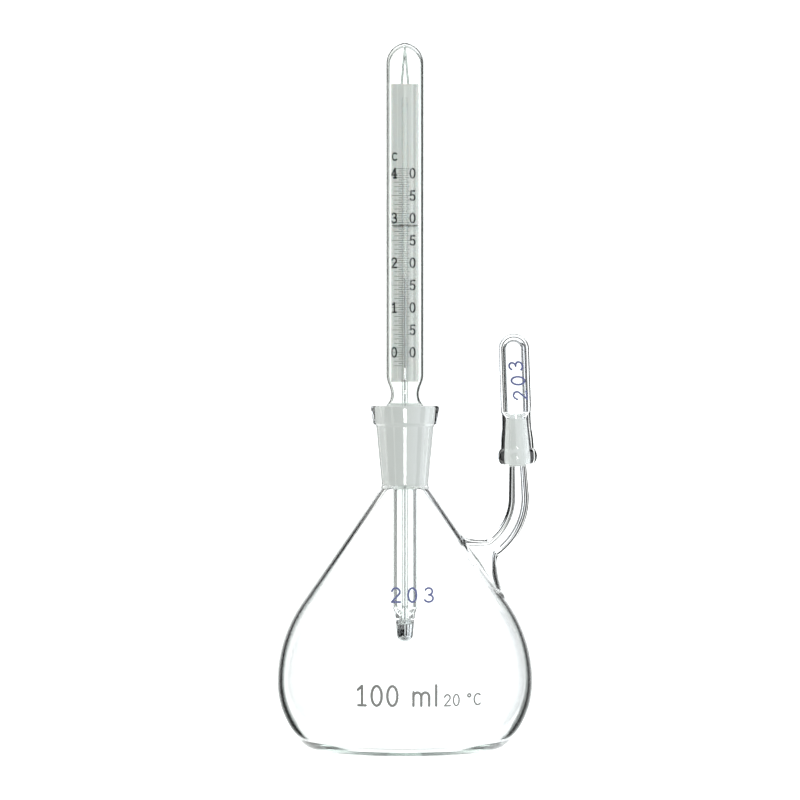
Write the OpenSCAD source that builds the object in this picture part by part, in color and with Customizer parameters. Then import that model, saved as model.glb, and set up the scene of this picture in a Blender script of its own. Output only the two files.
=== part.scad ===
// Pycnometer: a blown flask with a ground neck and a capillary side arm, an enclosed-scale
// thermometer whose cone stoppers the neck, and a ground cap on the side arm.
// Millimetres, +Z up. The origin is the centre of the flask's base, on the axis of the bulb.
// The side arm leaves towards +X and the thermometer's scale faces -Y.

/* [Flask] */
// Outside diameter of the bulb at its widest ring
bulb_d = 61.8; // [56:0.2:68]
// Height of the widest ring above the base
bulb_mid_z = 16.4; // [15:0.1:19]
// Radius of the outline below the widest ring
belly_r = 21.2; // [20:0.2:23]
// Radius of the bend between the belly and the flat base
heel_r = 5; // [3.5:0.1:6]
// Radius of the outline above the widest ring
shoulder_r = 33.5; // [30:0.5:38]
// Angle of the straight shoulder from the axis, in degrees
shoulder_angle = 35; // [33:0.5:38]
// Glass thickness of the bulb and the shoulder
wall = 1.2; // [0.9:0.05:1.5]
// Glass thickness of the base
base_wall = 1.6; // [1.2:0.1:2.2]

/* [Neck] */
// Large end of the ground joint between the flask and the thermometer
joint_d = 10; // [9.6:0.1:11]
// Length of that joint
joint_l = 19; // [17:0.5:22]
// Diameter lost over each millimetre of a ground joint
joint_taper = 0.1; // [0.09:0.005:0.11]
// Outside diameter of the neck where it leaves the shoulder
neck_foot_d = 11.2; // [10.9:0.1:12]
// Outside diameter of the neck under its collar
neck_top_d = 14; // [13.2:0.1:14.6]
// Outside diameter of the collar at its lower edge
collar_foot_d = 15.4; // [15:0.1:16]
// Outside diameter of the collar at the rim
collar_d = 16.6; // [16.2:0.1:17.6]
// Height of the collar
collar_h = 4.8; // [4:0.1:6]
// Depth of the flared mouth above the ground joint
mouth_h = 0.3; // [0.2:0.05:0.6]
// Radius of the hollow curve between the shoulder and the neck
neck_fillet_r = 2.4; // [1.5:0.1:3.5]

/* [Side arm] */
// Height of the arm's root on the shoulder
arm_root_z = 45.9; // [44:0.1:48]
// Outside diameter of the arm in its bend
arm_d = 5; // [4.6:0.1:5.4]
// Outside diameter of the arm just under the cap
arm_top_d = 4.15; // [4:0.05:4.3]
// Bore of the arm in its bend
arm_bore_d = 2; // [1.6:0.1:2.4]
// Bore of the arm at its tip
arm_tip_bore_d = 1.2; // [0.8:0.1:1.4]
// Length of the flared root, from the shoulder to the start of the bend
arm_root_l = 4.2; // [4:0.1:5]
// Radius of the flare at the root
arm_flare_r = 5; // [4.8:0.1:5.6]
// Radius of the bend along the arm's centre line
arm_bend_r = 14.8; // [14:0.1:17]
// Lean of the arm's upper end towards the neck, in degrees
arm_lean = 1.9; // [0:0.1:3]
// Length of the straight arm between the bend and the cap's mouth
arm_rise = 7.5; // [5:0.1:9]

/* [Cap] */
// Outside length of the cap
cap_l = 31.5; // [28:0.1:36]
// Outside diameter of the cap's tube
cap_d = 7.5; // [7.2:0.1:8]
// Glass thickness of the cap's tube
cap_wall = 1.35; // [1:0.05:1.5]
// Outside diameter of the slight waist above the ground socket
cap_waist_d = 7.1; // [6.8:0.1:7.2]
// Outside diameter of the cap just above its bead
cap_foot_d = 8.1; // [7.8:0.1:8.6]
// Outside diameter of the bead round the cap's mouth
cap_bead_d = 9.6; // [9.2:0.1:10.2]
// Height of the bead
cap_bead_h = 3.6; // [3.2:0.1:4.4]
// Large end of the ground joint between the arm and the cap
cap_joint_d = 4.4; // [4.35:0.05:4.7]
// Length of that joint
cap_joint_l = 11; // [9:0.5:12.5]

/* [Thermometer] */
// Height of the jacket's tip above the scale plate
jacket_headroom = 9.9; // [9:0.1:14]
// Outside diameter of the jacket
jacket_d = 9.2; // [9:0.05:9.6]
// Glass thickness of the jacket
jacket_wall = 0.55; // [0.5:0.05:0.6]
// Outside diameter of the waist between the jacket and the ground cone
waist_d = 7; // [6.6:0.1:7.4]
// Height of the narrowest ring of the waist above the ground joint
waist_rise = 3.1; // [2.8:0.1:3.6]
// Length over which the jacket narrows to the waist
waist_l = 4.6; // [4:0.1:6]
// Glass thickness of the hollow ground cone
cone_wall = 0.8; // [0.7:0.05:1]
// Outside diameter of the stem below the ground cone
stem_d = 5.9; // [5.6:0.1:6.4]
// Glass thickness of the stem
stem_wall = 0.7; // [0.5:0.05:0.9]
// Distance from the foot of the ground joint down to the tip of the bulb
stem_drop = 37.5; // [34:0.5:42]
// Outside diameter of the mercury bulb at its top
bulb_top_d = 4.5; // [4.2:0.1:4.8]
// Outside diameter of the mercury bulb near its round end
bulb_end_d = 3.9; // [3.6:0.1:4.1]
// Length of the mercury bulb
mercury_bulb_l = 5.4; // [4.8:0.1:7]
// Glass thickness of the mercury bulb
bulb_wall = 0.35; // [0.3:0.05:0.5]

/* [Scale] */
// Width of the opal glass plate
plate_w = 6.8; // [6.4:0.1:7]
// Thickness of the plate
plate_t = 0.7; // [0.6:0.05:0.8]
// Length of the plate
plate_l = 71.8; // [68:0.2:76]
// Outside diameter of the capillary
capillary_d = 1.6; // [1.4:0.05:1.7]
// Bore of the capillary
capillary_bore_d = 0.3; // [0.25:0.01:0.4]
// Distance from the top of the plate down to the top of the capillary
capillary_drop = 3.2; // [2.5:0.1:6]
// Diameter of the small chamber at the capillary's top
chamber_d = 0.7; // [0.5:0.05:0.8]
// Length of that chamber
chamber_l = 2.2; // [1.6:0.1:3]
// Distance from the foot of the plate up to the end of the mercury thread
thread_rise = 24.8; // [10:0.2:50]
// Distance from the foot of the plate up to the tie wire
tie_rise = 37.6; // [30:0.2:45]
// Diameter of the tie wire
tie_wire_d = 0.25; // [0.2:0.01:0.3]
// Spread of the hanger's two legs where they meet the plate
hanger_spread = 1.6; // [1.2:0.1:2]
// Diameter of the hanger's glass rod
hanger_d = 0.5; // [0.4:0.05:0.6]

/* [Fits] */
// Gap left between the faces of a ground joint
ground_gap = 0.03; // [0.02:0.01:0.05]
// Gap between sealed pieces that lie against each other
seat_gap = 0.03; // [0.02:0.01:0.05]

/* [Hidden] */
$fn = 96;
arc_step = 6;
ease_steps = 10;
short_ease_steps = 6;

clear_glass = [0.86, 0.92, 0.92, 0.35];
cap_glass = [0.80, 0.90, 0.93, 0.4];
jacket_glass = [0.88, 0.93, 0.90, 0.35];
opal_white = [0.86, 0.88, 0.85];
mercury_grey = [0.35, 0.35, 0.38];
wire_grey = [0.40, 0.40, 0.38];

// Points of an arc in a revolved outline, from one angle to another in degrees
function arc(cx, cz, r, from, to) =
    let (n = max(2, ceil(abs(to - from) / arc_step)))
    [for (i = [0:n]) let (a = from + (to - from) * i / n) [cx + r * cos(a), cz + r * sin(a)]];

// Points of a smooth step between two radii, from one height to another
function ease(r0, z0, r1, z1, n = ease_steps) =
    [for (i = [0:n]) [r0 + (r1 - r0) * (1 - cos(180 * i / n)) / 2, z0 + (z1 - z0) * i / n]];

// Outline of the bulb: the heel is tangent to the base and to the belly
bulb_r = bulb_d / 2;
belly_x = bulb_r - belly_r;
shoulder_x = bulb_r - shoulder_r;
heel_x = belly_x + sqrt(pow(belly_r - heel_r, 2) - pow(bulb_mid_z - heel_r, 2));
heel_end = atan2(heel_r - bulb_mid_z, heel_x - belly_x);
shoulder_top_r = shoulder_x + shoulder_r * cos(shoulder_angle);
shoulder_top_z = bulb_mid_z + shoulder_r * sin(shoulder_angle);
wall_across = wall / cos(shoulder_angle);

// Height at which the straight shoulder has a given outside radius, and the reverse
function shoulder_z(r) = shoulder_top_z + (shoulder_top_r - r) / tan(shoulder_angle);
function shoulder_radius(z) = shoulder_top_r - (z - shoulder_top_z) * tan(shoulder_angle);

// Heights along the neck
joint_foot_r = (joint_d - joint_taper * joint_l) / 2;
joint_foot_z = shoulder_z(joint_foot_r + wall_across);
joint_top_z = joint_foot_z + joint_l;
rim_z = joint_top_z + mouth_h;
collar_z = rim_z - collar_h;
neck_foot_z = shoulder_z(neck_foot_d / 2);
collar_edge_h = 0.4;
rim_round = 0.5;
neck_slope = atan2((neck_top_d - neck_foot_d) / 2, collar_z - neck_foot_z);
fillet_turn = (shoulder_angle + neck_slope) / 2;
fillet_back = neck_fillet_r * tan(fillet_turn);
fillet_x = neck_foot_d / 2 + fillet_back * sin(neck_slope) + neck_fillet_r * cos(neck_slope);
fillet_z = neck_foot_z + fillet_back * cos(neck_slope) - neck_fillet_r * sin(neck_slope);

// Side arm: root on the shoulder, along its normal, then a bend up to the leaning end
arm_r = arm_d / 2;
arm_bore_r = arm_bore_d / 2;
arm_root = [shoulder_radius(arm_root_z), 0, arm_root_z];
arm_out = [cos(shoulder_angle), 0, sin(shoulder_angle)];
arm_bend_start = arm_root + arm_root_l * arm_out;
arm_bend_centre = arm_bend_start + arm_bend_r * [-sin(shoulder_angle), 0, cos(shoulder_angle)];
arm_bend_turn = 90 + arm_lean - shoulder_angle;
arm_bend_end = arm_bend_centre + arm_bend_r * [cos(arm_lean), 0, sin(arm_lean)];
flare_turn = 62;
flare_skirt = 2.5;
flare_depth = 4;
// Stretches of glass lap each other by a short length and a hair's step, so that they fuse
lap = 0.3;
lap_step = 0.01;
cap_joint_tip_r = (cap_joint_d - joint_taper * cap_joint_l) / 2;
cone_lead = 0.5;
cone_tip_setback = 0.4;

// Cap, measured up from its mouth
cap_r = cap_d / 2;
cap_bore_r = cap_r - cap_wall;
cap_dome_z = cap_l - cap_r;
cap_waist_z = cap_joint_l - 0.3;
cap_bead_r = (pow(cap_bead_h / 2, 2) + pow((cap_bead_d - cap_foot_d) / 2, 2)) / (cap_bead_d - cap_foot_d);
cap_bead_turn = asin(cap_bead_h / 2 / cap_bead_r);
cap_throat_l = 1.9;
cap_edge = 0.15;
cap_foot_edge = 0.4;
cap_waist_l = 1;
cap_swell_l = 3;

// Thermometer, from the ground joint up to the waist and down to the bulb
jacket_r = jacket_d / 2;
jacket_bore_r = jacket_r - jacket_wall;
waist_z = joint_top_z + waist_rise;
waist_top_z = waist_z + waist_l;
waist_r = waist_d / 2;
waist_bore_r = waist_r - jacket_wall;
cone_r = joint_d / 2 - ground_gap;
cone_foot_r = joint_foot_r - ground_gap;
waist_arc_r = (pow(waist_rise, 2) + pow(cone_r - waist_r, 2)) / 2 / (cone_r - waist_r);
waist_turn = asin(waist_rise / waist_arc_r);
waist_bore_turn = 0.6 * waist_turn;
cone_shoulder_h = 0.6;
stem_r = stem_d / 2;
stem_bore_r = stem_r - stem_wall;
bulb_tip_z = joint_foot_z - stem_drop;
seal_z = bulb_tip_z + mercury_bulb_l;
seal_h = 3.4;
seal_lip_r = 0.15;
seal_lip_h = 0.3;
seal_wall_h = 0.5;
seal_thickening = 0.2;
stem_foot_z = seal_z + seal_h;
cone_step_h = 0.6;
cone_edge = 0.3;
cone_throat_rise = 1.5;
cone_throat_l = 2;
bulb_top_r = bulb_top_d / 2;
bulb_end_r = bulb_end_d / 2;
bulb_round_h = 1.7;
bulb_round_steps = 8;
bulb_throat_h = 0.9;
bulb_throat_step = 0.5;
bulb_throat_round = 0.3;

// Scale: the plate's corners rest on the narrowing of the jacket
capillary_r = capillary_d / 2;
plate_front_y = capillary_r + seat_gap;
plate_corner_r = norm([plate_w / 2, plate_front_y + plate_t]);
plate_seat = acos(1 - 2 * (jacket_bore_r - plate_corner_r - seat_gap) / (jacket_bore_r - waist_bore_r)) / 180;
plate_foot_z = waist_top_z - waist_l * plate_seat;
plate_top_z = plate_foot_z + plate_l;
capillary_top_z = plate_top_z - capillary_drop;
chamber_z = capillary_top_z - capillary_r - chamber_l;
thread_top_z = plate_foot_z + thread_rise;
tie_z = plate_foot_z + tie_rise;
tie_notch = tie_wire_d + seat_gap;
bore_r = capillary_bore_d / 2;
hanger_trim = 2;

// The jacket's pointed dome is an arc a little larger than its radius, over the plate
ogive = 1.12;
tip_drop_r = 0.5;
tip_drop_h = 0.3;
tip_z = plate_top_z + jacket_headroom;
dome_x = -jacket_r * (ogive - 1);
dome_r = jacket_r * ogive;
dome_z = tip_z - sqrt(pow(dome_r, 2) - pow(dome_x, 2));
dome_end = acos((ogive - 1) / ogive);

// Solid whose surface is the outside of the bulb, shoulder and neck
module flask_outside() {
    rotate_extrude() polygon(concat(
        [[0, 0]],
        arc(heel_x, heel_r, heel_r, -90, heel_end),
        arc(belly_x, bulb_mid_z, belly_r, heel_end + arc_step / 2, 0),
        arc(shoulder_x, bulb_mid_z, shoulder_r, arc_step / 2, shoulder_angle),
        arc(fillet_x, fillet_z, neck_fillet_r, 180 + shoulder_angle, 180 - neck_slope),
        [
            [neck_top_d / 2, collar_z],
            [collar_foot_d / 2, collar_z + collar_edge_h],
            [collar_d / 2, rim_z - rim_round]
        ],
        arc(collar_d / 2 - rim_round, rim_z - rim_round, rim_round, 30, 90),
        [
            [0, rim_z]
        ]
    ));
}

// Space inside the bulb and the ground socket
module flask_inside() {
    floor_r = heel_r - wall;
    rotate_extrude() polygon(concat(
        [[0, base_wall], [heel_x, base_wall]],
        arc(heel_x, heel_r, floor_r, -asin((heel_r - base_wall) / floor_r), heel_end),
        arc(belly_x, bulb_mid_z, belly_r - wall, heel_end + arc_step / 2, 0),
        arc(shoulder_x, bulb_mid_z, shoulder_r - wall, arc_step / 2, shoulder_angle),
        [
            [joint_foot_r, joint_foot_z],
            [joint_d / 2, joint_top_z],
            [joint_d / 2 + mouth_h, rim_z],
            [0, rim_z]
        ]
    ));
}

// Frame of the arm's root, with +Z along the shoulder's normal
module at_arm_root() translate(arm_root) rotate([0, 90 - shoulder_angle, 0]) children();

// Frame of the arm's bend, swept from the root to the leaning end
module in_arm_bend()
    translate(arm_bend_centre) rotate([90, 0, 0]) rotate([0, 0, shoulder_angle - 90]) children();

// Frame of the arm's straight end, with +Z up the arm
module at_arm_end() translate(arm_bend_end) rotate([0, -arm_lean, 0]) children();

// Frame of the cap, with its origin at the centre of the mouth
module at_cap() at_arm_end() translate([0, 0, arm_rise]) children();

// One skin of the trumpet at the arm's root, at a distance inside the outer surface
module arm_flare(inset) {
    tube_r = arm_r - inset;
    flare = arc(arm_r + arm_flare_r, arm_root_l, arm_flare_r + inset, 180, 180 + flare_turn);
    rim = flare[len(flare) - 1];
    rotate_extrude() polygon(concat(
        [[0, arm_root_l + lap], [tube_r + lap_step, arm_root_l + lap], [tube_r + lap_step, arm_root_l]],
        flare,
        [
            rim + flare_skirt * [sin(flare_turn), -cos(flare_turn)],
            [0, rim[1] - flare_depth]
        ]
    ));
}

// One skin of the arm's straight end, lapped onto the bend
module arm_straight(l, foot_r, top_r) {
    at_arm_end() {
        translate([0, 0, -lap]) cylinder(h = 2 * lap, r = foot_r + lap_step);
        cylinder(h = l, r1 = foot_r, r2 = top_r);
    }
}

module arm_outside() {
    at_arm_root() arm_flare(0);
    in_arm_bend() rotate_extrude(angle = arm_bend_turn) translate([arm_bend_r, 0]) circle(arm_r);
    arm_straight(arm_rise, arm_r, arm_top_d / 2);
    at_cap() translate([0, 0, -cone_lead]) ground_plug();
}

// Ground cone at the arm's tip, a gap smaller than the cap's socket
module ground_plug() {
    lead_r = (cap_joint_d + joint_taper * cone_lead) / 2 - ground_gap;
    tip_l = cone_lead + cap_joint_l - cone_tip_setback;
    tip_r = lead_r - tip_l * joint_taper / 2;
    cylinder(h = tip_l, r1 = lead_r, r2 = tip_r);
}

module arm_inside() {
    at_arm_root() arm_flare(arm_r - arm_bore_r);
    in_arm_bend()
        rotate_extrude(angle = arm_bend_turn) translate([arm_bend_r, 0]) circle(arm_bore_r);
    arm_straight(arm_rise + cap_joint_l, arm_bore_r, arm_tip_bore_d / 2);
}

module flask() {
    color(clear_glass)
    difference() {
        union() {
            flask_outside();
            difference() {
                arm_outside();
                flask_inside();
            }
        }
        flask_inside();
        arm_inside();
    }
}

// Outer envelope of the thermometer: pointed dome, jacket, waist, ground cone and stem
module thermometer_jacket() {
    seal_r = capillary_r + seat_gap;
    cone_throat_z = joint_foot_z + cone_throat_rise;
    color(jacket_glass)
    rotate_extrude() polygon(concat(
        [[bulb_top_r, seal_z]],
        ease(bulb_top_r + seal_lip_r, seal_z + seal_lip_h, stem_r, stem_foot_z, short_ease_steps),
        [
            [stem_r, joint_foot_z - cone_step_h],
            [cone_foot_r - cone_edge, joint_foot_z],
            [cone_foot_r, joint_foot_z + cone_edge]
        ],
        arc(waist_r + waist_arc_r, waist_z, waist_arc_r, 180 + waist_turn, 180),
        ease(waist_r, waist_z, jacket_r, waist_top_z),
        arc(dome_x, dome_z, dome_r, 0, dome_end),
        dome_inside(),
        ease(jacket_bore_r, waist_top_z, waist_bore_r, waist_z),
        arc(
            waist_r + waist_arc_r, waist_z, waist_arc_r + jacket_wall,
            180 + arc_step, 180 + waist_bore_turn
        ),
        [
            [cone_r - cone_wall, joint_top_z - cone_shoulder_h],
            [cone_foot_r - cone_wall, cone_throat_z + cone_throat_l],
            [stem_bore_r, cone_throat_z],
            [stem_bore_r, stem_foot_z]
        ],
        ease(stem_bore_r, stem_foot_z - seal_thickening, seal_r, seal_z + seal_wall_h, short_ease_steps),
        [[seal_r, seal_z]]
    ));
}

// Inside of the jacket's dome, with a thicker drop of glass at the tip
function dome_inside() =
    let (inner_r = dome_r - jacket_wall)
    let (points = arc(dome_x, dome_z, inner_r, acos(-dome_x / inner_r), 0))
    let (drop_z = points[0][1] - tip_drop_h)
    concat([[0, drop_z], [tip_drop_r, drop_z + lap_step]], [for (i = [2:len(points) - 1]) points[i]]);

// Bulb glass, its seal to the stem and the capillary, closed with a round end
module capillary_tube() {
    color(cap_glass)
    difference() {
        union() {
            rotate_extrude() polygon(concat(
                [[0, bulb_tip_z]],
                bulb_end(bulb_end_r, bulb_round_h, 0),
                [[bulb_top_r, seal_z], [0, seal_z]]
            ));
            translate([0, 0, seal_z]) cylinder(h = capillary_top_z - capillary_r - seal_z, r = capillary_r);
            translate([0, 0, capillary_top_z - capillary_r]) sphere(capillary_r);
        }
        bulb_space(0);
    }
}

// Round end of the bulb, as points from the axis outwards
function bulb_end(r, h, inset) =
    [for (i = [1:bulb_round_steps])
        let (a = 90 * i / bulb_round_steps) [r * sin(a), bulb_tip_z + inset + h * (1 - cos(a))]];

// Hollow of the bulb, its throat, the bore and the chamber at the top, at an inset for the fill
module bulb_space(inset) {
    inside_r = bulb_end_r - bulb_wall - inset;
    inside_top_r = bulb_top_r - bulb_wall - inset;
    throat_z = seal_z - bulb_wall;
    rotate_extrude() polygon(concat(
        [[0, bulb_tip_z + bulb_wall + inset]],
        bulb_end(inside_r, bulb_round_h - bulb_wall, bulb_wall + inset),
        [
            [inside_top_r, throat_z - bulb_throat_h],
            [inside_top_r - bulb_throat_step, throat_z - bulb_throat_round],
            [bore_r - inset, seal_z - inset],
            [bore_r - inset, bore_top(inset)],
            [0, bore_top(inset)]
        ]
    ));
    if (inset == 0) translate([0, 0, chamber_z]) expansion_chamber();
}

// The bore ends in the chamber; the fill ends at the reading
function bore_top(inset) = inset > 0 ? thread_top_z : chamber_z + lap;

module expansion_chamber() {
    r = chamber_d / 2;
    translate([0, 0, r]) sphere(r);
    translate([0, 0, r]) cylinder(h = chamber_l - 2 * r, r = r);
    translate([0, 0, chamber_l - r]) sphere(r);
}

module mercury() {
    color(mercury_grey) bulb_space(seat_gap);
}

// Opal plate behind the capillary, with a notch at each edge for the tie wire
module scale_plate() {
    color(opal_white)
    difference() {
        translate([-plate_w / 2, plate_front_y, plate_foot_z]) cube([plate_w, plate_t, plate_l]);
        for (side = [-1, 1])
            translate([side * plate_w / 2, plate_front_y + plate_t / 2, tie_z])
                cube([2 * tie_notch, 2 * plate_t, 2 * tie_notch], center = true);
    }
}

// Forked glass rod that holds the plate down from the jacket's tip
module scale_hanger() {
    crotch_z = dome_inside()[0][1] - seat_gap;
    plate_mid_y = plate_front_y + plate_t / 2;
    reach = crotch_z - hanger_d / 2 - plate_top_z;
    color(jacket_glass)
    difference() {
        union() {
            translate([0, 0, crotch_z - hanger_d / 2]) sphere(d = hanger_d);
            for (side = [-1, 1])
                hanger_leg([side * hanger_spread / 2, plate_mid_y, -reach]);
        }
        translate([-plate_w / 2, 0, plate_top_z - hanger_trim])
            cube([plate_w, 2 * plate_w, hanger_trim + seat_gap]);
    }
    module hanger_leg(run) {
        spread = norm([run[0], run[1]]);
        translate([0, 0, crotch_z - hanger_d / 2])
            rotate([0, 0, atan2(run[1], run[0])])
            rotate([0, 180 - atan2(spread, -run[2]), 0])
            cylinder(h = norm(run), d = hanger_d);
    }
}

// Wire loop round the plate and the capillary
module scale_tie_wire() {
    color(wire_grey)
    translate([0, 0, tie_z - tie_wire_d / 2])
    linear_extrude(tie_wire_d)
    difference() {
        tie_outline(seat_gap + tie_wire_d);
        tie_outline(seat_gap);
    }
}

// Outline that clears the notched plate and the capillary by a margin
module tie_outline(margin) {
    notched_w = plate_w - 2 * tie_notch;
    translate([-notched_w / 2 - margin, plate_front_y - margin])
        square([notched_w + 2 * margin, plate_t + 2 * margin]);
    circle(capillary_r + margin);
}

// Cap with a domed top, a slight waist, a ground socket and a bead round its mouth
module side_arm_cap() {
    foot_x = cap_bead_d / 2 - cap_bead_r;
    bead_z = cap_bead_h / 2 + cap_edge;
    socket_r = cap_joint_d / 2;
    throat_z = cap_joint_l + cap_throat_l;
    color(cap_glass)
    at_cap()
    rotate_extrude() polygon(concat(
        [[socket_r + cap_edge, 0], [cap_foot_d / 2 - cap_foot_edge, 0]],
        arc(foot_x, bead_z, cap_bead_r, -cap_bead_turn, cap_bead_turn),
        ease(
            cap_foot_d / 2, bead_z + cap_bead_h / 2 + cap_foot_edge,
            cap_waist_d / 2, cap_waist_z, short_ease_steps
        ),
        ease(
            cap_waist_d / 2, cap_waist_z + cap_waist_l,
            cap_r, cap_waist_z + cap_waist_l + cap_swell_l, short_ease_steps
        ),
        arc(0, cap_dome_z, cap_r, 0, 90),
        arc(0, cap_dome_z, cap_bore_r, 90, 0),
        ease(cap_bore_r, throat_z, cap_joint_tip_r, cap_joint_l, short_ease_steps),
        [[socket_r, cap_edge]]
    ));
}

flask();
thermometer_jacket();
capillary_tube();
mercury();
scale_plate();
scale_hanger();
scale_tie_wire();
side_arm_cap();
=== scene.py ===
import math

import bpy
from mathutils import Matrix, Vector
from mathutils.geometry import delaunay_2d_cdt


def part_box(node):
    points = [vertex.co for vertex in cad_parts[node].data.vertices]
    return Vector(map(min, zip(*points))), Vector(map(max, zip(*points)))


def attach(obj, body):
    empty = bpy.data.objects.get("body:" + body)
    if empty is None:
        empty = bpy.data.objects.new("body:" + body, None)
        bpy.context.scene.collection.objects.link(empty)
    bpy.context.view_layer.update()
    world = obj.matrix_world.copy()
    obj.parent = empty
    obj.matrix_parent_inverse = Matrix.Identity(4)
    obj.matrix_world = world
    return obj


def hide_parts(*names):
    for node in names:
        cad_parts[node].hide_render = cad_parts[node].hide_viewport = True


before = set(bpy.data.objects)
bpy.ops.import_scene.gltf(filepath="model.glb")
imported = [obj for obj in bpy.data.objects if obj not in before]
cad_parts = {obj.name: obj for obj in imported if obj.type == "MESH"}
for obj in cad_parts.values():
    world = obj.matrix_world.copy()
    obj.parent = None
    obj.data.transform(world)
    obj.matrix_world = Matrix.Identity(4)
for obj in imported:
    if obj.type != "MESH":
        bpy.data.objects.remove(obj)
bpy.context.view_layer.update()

bl_info = {
    "name": "Pycnometer",
    "version": (1, 0, 0),
    "blender": (4, 5, 0),
    "location": "View3D > Sidebar > Pycnometer",
    "description": "Blown flask, capillary side arm, ground cap and enclosed-scale thermometer",
    "category": "Object",
}

# Lengths in this file are in millimetres. Properties and meshes hold them in metres.
MM = 0.001

# Finishes of the glass pieces, in the order of their materials
CLEAR = 0
GROUND = 1
THICK = 2

# Joints that the flask, the thermometer and the cap share
TAPER = 0.1
GROUND_GAP = 0.03
CAP_JOINT_D = 4.4
CAP_JOINT_L = 11


def size(name, text, default):
    """A length property; defaults are written in millimetres."""
    return bpy.props.FloatProperty(
        name=name, description=text, default=default * MM, unit="LENGTH", precision=5
    )


def colour(name, text, code):
    """A colour property, from an sRGB hex value."""
    return bpy.props.FloatVectorProperty(
        name=name, description=text, default=linear(code), subtype="COLOR", size=4, min=0, max=1
    )


def linear(code):
    """Linear RGBA of an sRGB hex colour."""
    parts = [int(code[i:i + 2], 16) / 255 for i in (1, 3, 5)]
    return tuple(p / 12.92 if p <= 0.04045 else ((p + 0.055) / 1.055) ** 2.4 for p in parts) + (1.0,)


def in_mm(group, *names):
    """Lengths of a property group, in millimetres."""
    return [getattr(group, name) / MM for name in names]


class FlaskSettings(bpy.types.PropertyGroup):
    bulb_d: size("Bulb diameter", "Outside diameter at the widest ring", 61.8)
    bulb_mid_z: size("Widest ring", "Height of the widest ring", 16.4)
    belly_r: size("Belly radius", "Outline radius below the widest ring", 21.2)
    heel_r: size("Heel radius", "Outline radius at the edge of the base", 5)
    shoulder_r: size("Shoulder radius", "Outline radius above the widest ring", 33.5)
    wall: size("Wall", "Glass thickness of the bulb", 1.2)
    base_wall: size("Base", "Glass thickness of the base", 1.6)
    joint_d: size("Joint", "Large end of the ground joint", 10)
    joint_l: size("Joint length", "Length of the ground joint", 19)
    neck_foot_d: size("Neck foot", "Outside diameter of the neck at the shoulder", 11.2)
    neck_top_d: size("Neck top", "Outside diameter of the neck under the collar", 14)
    collar_d: size("Collar", "Outside diameter of the collar at the rim", 16.6)
    collar_h: size("Collar height", "Height of the collar", 4.8)
    arm_d: size("Arm", "Outside diameter of the side arm", 5)
    arm_bore_d: size("Arm bore", "Bore of the side arm in its bend", 2)
    glass: colour("Glass", "Tint of the flask's glass", "#FDFEFE")


class ThermometerSettings(bpy.types.PropertyGroup):
    jacket_d: size("Jacket", "Outside diameter of the jacket", 9.2)
    jacket_wall: size("Jacket wall", "Glass thickness of the jacket", 0.55)
    waist_d: size("Waist", "Diameter of the waist above the cone", 7)
    stem_d: size("Stem", "Outside diameter of the stem", 5.9)
    stem_wall: size("Stem wall", "Glass thickness of the stem", 0.7)
    capillary_d: size("Capillary", "Outside diameter of the capillary", 1.6)
    glass: colour("Glass", "Tint of the thermometer's glass", "#FAFDFB")


class ScaleSettings(bpy.types.PropertyGroup):
    plate: colour("Plate", "Colour of the opal plate", "#9D9F9C")
    ink: colour("Ink", "Colour of the fired scale", "#1B1D1F")
    zero_z: size("Zero", "Height of the 0 degree line", 95.4)
    degree: size("Degree", "Length of one degree", 1.08)
    figure_h: size("Figures", "Height of the scale's figures", 2.5)


class CapSettings(bpy.types.PropertyGroup):
    cap_d: size("Cap", "Outside diameter of the cap's tube", 7.5)
    cap_wall: size("Cap wall", "Glass thickness of the cap's tube", 1.35)
    bead_d: size("Bead", "Outside diameter of the bead", 9.6)
    bead_h: size("Bead height", "Height of the bead", 3.6)
    glass: colour("Glass", "Tint of the cap's glass", "#FBFDFE")


class MarkSettings(bpy.types.PropertyGroup):
    blue: colour("Blue enamel", "Colour of the set numbers", "#2B3263")
    grey: colour("Grey enamel", "Colour of the capacity mark", "#4B4B48")
    number_h: size("Number height", "Height of the set numbers' figures", 3.5)
    capacity_h: size("Capacity height", "Height of the capacity mark's figures", 5.1)
    set_number: bpy.props.StringProperty(
        name="Set number", description="Number that the flask and its cap share", default="203"
    )


class StageSettings(bpy.types.PropertyGroup):
    camera_y: size("Camera distance", "Distance from the axis to the camera", 888)
    camera_z: size("Camera height", "Height of the camera", 83.9)
    camera_x: size("Camera offset", "Sideways offset of the camera", -1.2)
    lens: bpy.props.FloatProperty(
        name="Lens", description="Focal length", default=165.8, unit="CAMERA"
    )
    level: bpy.props.FloatProperty(
        name="Level", description="Brightness of the surround at eye level", default=1.6
    )
    overhead: bpy.props.FloatProperty(
        name="Overhead", description="Brightness of the surround overhead", default=2.1
    )


def arc(cx, cz, r, start, end, step=2.0):
    """Points of an arc in an outline, between two angles in degrees."""
    n = max(2, math.ceil(abs(end - start) / step))
    turn = [math.radians(start + (end - start) * i / n) for i in range(n + 1)]
    return [(cx + r * math.cos(a), cz + r * math.sin(a)) for a in turn]


def ease(r0, z0, r1, z1, n=16):
    """Points of a smooth step between two radii."""
    return [(r0 + (r1 - r0) * (1 - math.cos(math.pi * i / n)) / 2, z0 + (z1 - z0) * i / n)
            for i in range(n + 1)]


def line(a, b, step=1.0):
    """Points along a straight stretch of an outline, without its first."""
    n = max(1, math.ceil(math.dist(a, b) / step))
    return [(a[0] + (b[0] - a[0]) * i / n, a[1] + (b[1] - a[1]) * i / n) for i in range(1, n + 1)]


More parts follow.
